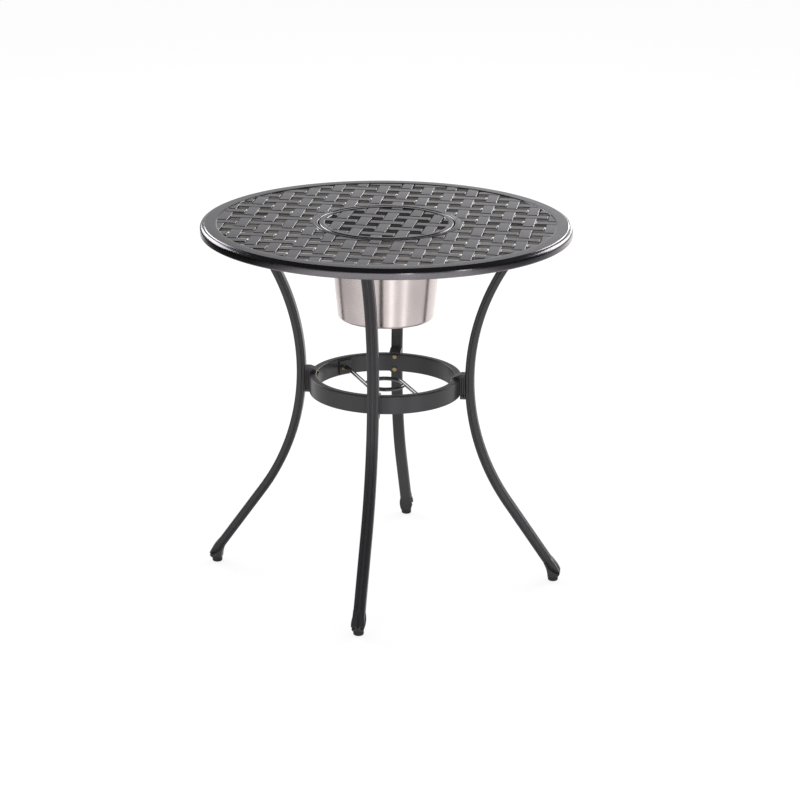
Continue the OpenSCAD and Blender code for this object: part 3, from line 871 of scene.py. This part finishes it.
# %% Gloss coat on the rods
def rod_gloss():
    """Dark gloss with soft flow marks and fine dust."""
    gloss = Finish("rod_steel", {"Metallic": 0.55, "Coat Weight": 0.6, "Coat Roughness": 0.06})
    place = gloss.place()
    flow = gloss.noise(place, 0.004, detail=2.0)
    dust = gloss.noise(place, 0.0012, detail=2.0)
    soft, edge = gloss.edges(0.0006)
    gloss.set("Base Color", gloss.mix(gloss.between(dust, 0.4, 0.75), [0.045, 0.044, 0.048, 1],
                                      [0.085, 0.083, 0.09, 1]))
    gloss.set("Roughness", 0.16 + dust * 0.10 + edge * 0.1)
    gloss.set("Normal", gloss.relief(flow, 0.00003, soft))
    return gloss.material


rod_steel = rod_gloss()
print("gloss:", rod_steel.name)


# %% Yellow zinc on the bolts
def yellow_zinc():
    """Yellow zinc plate, paler where an edge is rubbed."""
    zinc = Finish("zinc_bolt", {"Metallic": 1.0})
    place = zinc.place()
    tint = zinc.noise(place, 0.005, detail=2.0)
    grain = zinc.noise(place, 0.0006, detail=3.0)
    soft, edge = zinc.edges(0.0004)
    gold = zinc.mix(zinc.between(tint, 0.35, 0.65), [0.40, 0.30, 0.12, 1], [0.42, 0.31, 0.20, 1])
    zinc.set("Base Color", zinc.mix(edge * 0.7, gold, [0.55, 0.48, 0.34, 1]))
    zinc.set("Roughness", 0.22 + grain * 0.18)
    zinc.set("Normal", zinc.relief(grain, 0.00003, soft))
    return zinc.material


zinc_bolt = yellow_zinc()
print("zinc:", zinc_bolt.name)


# %% Black nylon on the glides
SCUFF_HIGH = 0.004


def black_nylon():
    """Moulded nylon, scuffed just above the ground."""
    nylon = Finish("glide_nylon", {"Specular IOR Level": 0.45})
    place = nylon.place()
    height = nylon.parts(place)[2]
    grain = nylon.noise(place, 0.0005, detail=3.0)
    scuff = nylon.noise(place, 0.003, detail=4.0)
    soft, edge = nylon.edges(0.0006)
    rubbed = nylon.between(height, SCUFF_HIGH, 0.0) * nylon.between(scuff, 0.35, 0.7)
    black = nylon.mix(grain, [0.010, 0.010, 0.011, 1], [0.022, 0.022, 0.024, 1])
    nylon.set("Base Color", nylon.mix(rubbed * 0.6 + edge * 0.15, black, [0.09, 0.088, 0.085, 1]))
    nylon.set("Roughness", 0.42 + grain * 0.12 + rubbed * 0.2)
    nylon.set("Normal", nylon.relief(grain, 0.00004, soft))
    return nylon.material


glide_nylon = black_nylon()
print("nylon:", glide_nylon.name)

# %% [markdown]
# ## Give each piece its finish
# The record that comes with the table says which finish each piece takes, so the finishes go on
# by name and no piece can be missed. The new pieces take the finish of the piece they stand
# for.

# %% Put the finishes on
FINISHES = {
    "cast_top": top_coat,
    "cast_frame": frame_coat,
    "bucket_steel": bucket_steel,
    "rod_steel": rod_steel,
    "glide_nylon": glide_nylon,
    "zinc_bolt": zinc_bolt,
}


def put_on(piece, slot):
    """Give a piece one finish and no other."""
    piece.data.materials.clear()
    piece.data.materials.append(FINISHES[slot])


for part in frame["record"]["subparts"]:
    put_on(nodes[part["node"]], part["material_slot"])
for name, slot in finish_of.items():
    put_on(bpy.data.objects[name], slot)

# %% [markdown]
# ## A plain studio
# The table stands on a pale floor in a white room. The camera sees only white, and the light
# that falls on the table is even, so each grey shows about as it was mixed. Metal shows what it
# mirrors, though, and a studio is never white all round. So the room keeps a dark ceiling and
# dark sides for mirrored light alone. The ceiling draws the black band round the front of the
# rim. It starts higher behind the table, because the flat pads of the weave take their grey
# from the wall there, and that wall is dimmer on its left than on its right.

# %% The room
ROOM_LIGHT = 0.95
CEILING_DARK = 0.03
DARK_BEHIND = (0.14, 0.40)
DARK_IN_FRONT = (0.05, 0.20)
BEHIND = (-0.3, 0.3)
SIDE_DARK = (0.80, 0.88)
LIT_BEHIND = (-0.35, 0.05)
LEFT_LESS = 0.5
RIGHT_MORE = 0.8

scene = bpy.context.scene
scene.view_settings.view_transform = "Standard"
scene.world = bpy.data.worlds.new("room")
scene.world.use_nodes = True
room = Wiring(scene.world.node_tree)
across, back, up = room.parts(room.node("ShaderNodeTexCoord", {}, {}, "Generated"))
behind = room.between(back, *BEHIND)
ceiling_behind = room.between(up, *DARK_BEHIND)
ceiling_in_front = room.between(up, *DARK_IN_FRONT)
ceiling = ceiling_in_front + behind * (ceiling_behind - ceiling_in_front)
sides = room.between(abs(across), *SIDE_DARK)
dark = ceiling + sides - ceiling * sides
lit = 1 + behind * (room.between(across, *LIT_BEHIND) * RIGHT_MORE - LEFT_LESS)
mirrored = lit * (1 - dark * (1 - CEILING_DARK))
in_view = room.ray_is("Is Camera Ray", "Is Transmission Ray")
in_metal = room.ray_is("Is Glossy Ray")
level = ROOM_LIGHT + in_view * (1 - ROOM_LIGHT) + in_metal * (mirrored - ROOM_LIGHT)
background = scene.world.node_tree.nodes["Background"]
background.inputs["Color"].default_value = (1, 1, 1, 1)
room.feed(background.inputs["Strength"], level)
print("room:", len(scene.world.node_tree.nodes), "nodes")

# %% [markdown]
# The floor is part paint and part glow: the paint takes the table's soft shadow, and the glow
# keeps it white. As metal mirrors it, it is a warmer white with painted shade near the table,
# which shades the skirt and the legs, and painted light far off, and it ends in painted dark
# sides and corners, which draw the bucket's outline. Two painted pools of light lie on it in
# front, where lamps would throw light on a floor, and the bucket mirrors them as two upright
# bands.

# %% The dark and bright parts of the floor
FLOOR_SIZE = 60.0
FLOOR_MIDDLE = 0.28
FLOOR_DARK = (2.15, 2.7)
CORNERS_DARK = (1.3, 2.9)
CORNERS_BACK = (-1.4, -0.4)
PATCHES = ((math.radians(-69.3), 0.15), (math.radians(-39.4), 0.13))
PATCH_SOFT = 0.4
PATCH_FAR = (3.0, 2.4)
NEAR = (1.2, 0.1)
NEAR_SHADE = 0.6
FAR = (3.0, 7.0)
FAR_GLOW = 0.2

floor = start("floor", bpy.ops.mesh.primitive_plane_add, size=FLOOR_SIZE)
paint = Finish("pale_floor", {"Base Color": (0.98, 0.98, 0.98, 1), "Roughness": 0.9})
floor.data.materials.append(paint.material)
x, y = paint.parts(paint.place())[:2]
aside = abs(x - FLOOR_MIDDLE)
corners = paint.between(aside, *CORNERS_DARK) * paint.between(y, *CORNERS_BACK)
sides = 1 - (1 - paint.between(aside, *FLOOR_DARK)) * (1 - corners)
turn = paint.way_round(x, y)
patches = sum(paint.between(abs(turn - middle), wide, wide * PATCH_SOFT)
              for middle, wide in PATCHES)
out = x * x + y * y
# Painted light and shade on the floor, for metal alone: pools of light in front, light far off,
# shade near the table.
shade = (patches * paint.between(out, *PATCH_FAR) + paint.between(out, *FAR) * FAR_GLOW
         - paint.between(out, *NEAR) * NEAR_SHADE)
print("bright patches:", len(PATCHES))

# %% The floor
FLOOR_GLOW = 0.8
MIRRORED_WHITE = [1.0, 0.985, 0.955, 1]

mirrored = paint.ray_is("Is Glossy Ray", "Is Transmission Ray")
seen = paint.ray_is("Is Camera Ray", "Is Glossy Ray", "Is Transmission Ray")
white = paint.mix(mirrored, [1, 1, 1, 1], MIRRORED_WHITE)
strength = (1 + shade * mirrored) * (1 - sides * mirrored)
colour = paint.node("ShaderNodeVectorMath", {"operation": "SCALE"}, {0: white, "Scale": strength})
glow = paint.node("ShaderNodeEmission", {}, {"Color": colour})
share = seen * FLOOR_GLOW + sides * mirrored * (1 - FLOOR_GLOW)
blend = paint.node("ShaderNodeMixShader", {}, {
    0: share, 1: Field(paint, paint.shader.outputs[0]), 2: glow})
paint.feed(paint.tree.nodes["Material Output"].inputs["Surface"], blend)
print("floor:", floor.name, "of", FLOOR_SIZE, "m")

# %% [markdown]
# Two wide lamps behind the table, one at each side, draw the white lines along the ends of the
# rim. A small low lamp behind lights the right edge of every pad of the weave, and two tall
# narrow ones in front add thin bright lines to the bucket. Two slim black flags, which show
# only in the metal, draw the dark lines near the bucket's sides.

# %% The lamps
LAMPS = {
    "lamp_left": ((-3.15, 2.46, 2.10), (3.2, 1.7), 74),
    "lamp_right": ((2.57, 3.06, 2.15), (2.5, 1.9), 72),
    "strip_behind": ((0.97, 3.88, 1.05), (0.5, 0.7), 7),
    "lamp_front_right": ((3.2, -2.4, 1.0), (0.25, 2.4), 10),
    "lamp_front": ((1.4, -3.8, 0.9), (0.2, 1.8), 8),
}
AIM = Vector((0, 0, 0.6))

for name, (spot, (wide, high), watts) in LAMPS.items():
    lamp = bpy.data.lights.new(name, "AREA")
    lamp.shape = "RECTANGLE"
    lamp.energy = watts
    lamp.size = wide
    lamp.size_y = high
    holder = bpy.data.objects.new(name, lamp)
    scene.collection.objects.link(holder)
    holder.visible_camera = False
    holder.location = spot
    holder.rotation_euler = (AIM - Vector(spot)).to_track_quat("-Z", "Y").to_euler()
print("lamps:", len(LAMPS))

# %% The flags
FLAG_FAR = 4.0
FLAG_THICK = 0.02
FLAG_HIGH = 3.0
FLAGS = {"left": (math.radians(143), 0.05), "right": (math.radians(26), 0.12)}

for side, (turn, wide) in FLAGS.items():
    flag = start("flag_" + side, bpy.ops.mesh.primitive_cube_add, size=1,
                 location=(FLAG_FAR * math.cos(turn), FLAG_FAR * math.sin(turn), FLAG_HIGH / 2),
                 rotation=(0, 0, turn), scale=(FLAG_THICK, wide, FLAG_HIGH))
    felt = Finish("felt_" + side, {"Base Color": (0.01, 0.01, 0.01, 1), "Specular IOR Level": 0.0})
    flag.data.materials.append(felt.material)
    flag.visible_camera = False
    flag.visible_diffuse = False
    flag.visible_shadow = False
print("flags:", len(FLAGS))

# %% [markdown]
# ## The camera
# The picture was taken from about five metres in front of the table and two metres up, a little
# to the right, through a long lens. The camera looks down by its tilt, and was held a hair off
# level.

# %% The camera
LENS = 122.48
CAMERA_PLACE = (0.696, -4.998, 1.964)
HEADING = math.radians(7.6)
TILT_DOWN = math.radians(17.69)
OFF_LEVEL = math.radians(0.549)

camera = bpy.data.objects.new("camera", bpy.data.cameras.new("camera"))
scene.collection.objects.link(camera)
camera.data.lens = LENS
aim = (
    Matrix.Rotation(HEADING, 4, "Z")
    @ Matrix.Rotation(QUARTER_TURN - TILT_DOWN, 4, "X")
    @ Matrix.Rotation(OFF_LEVEL, 4, "Z")
)
camera.matrix_world = Matrix.Translation(CAMERA_PLACE) @ aim
scene.camera = camera
print("camera at", CAMERA_PLACE)

# %% [markdown]
# ## The last cell
# It only loads the json module again.

# %% Load json again
import json
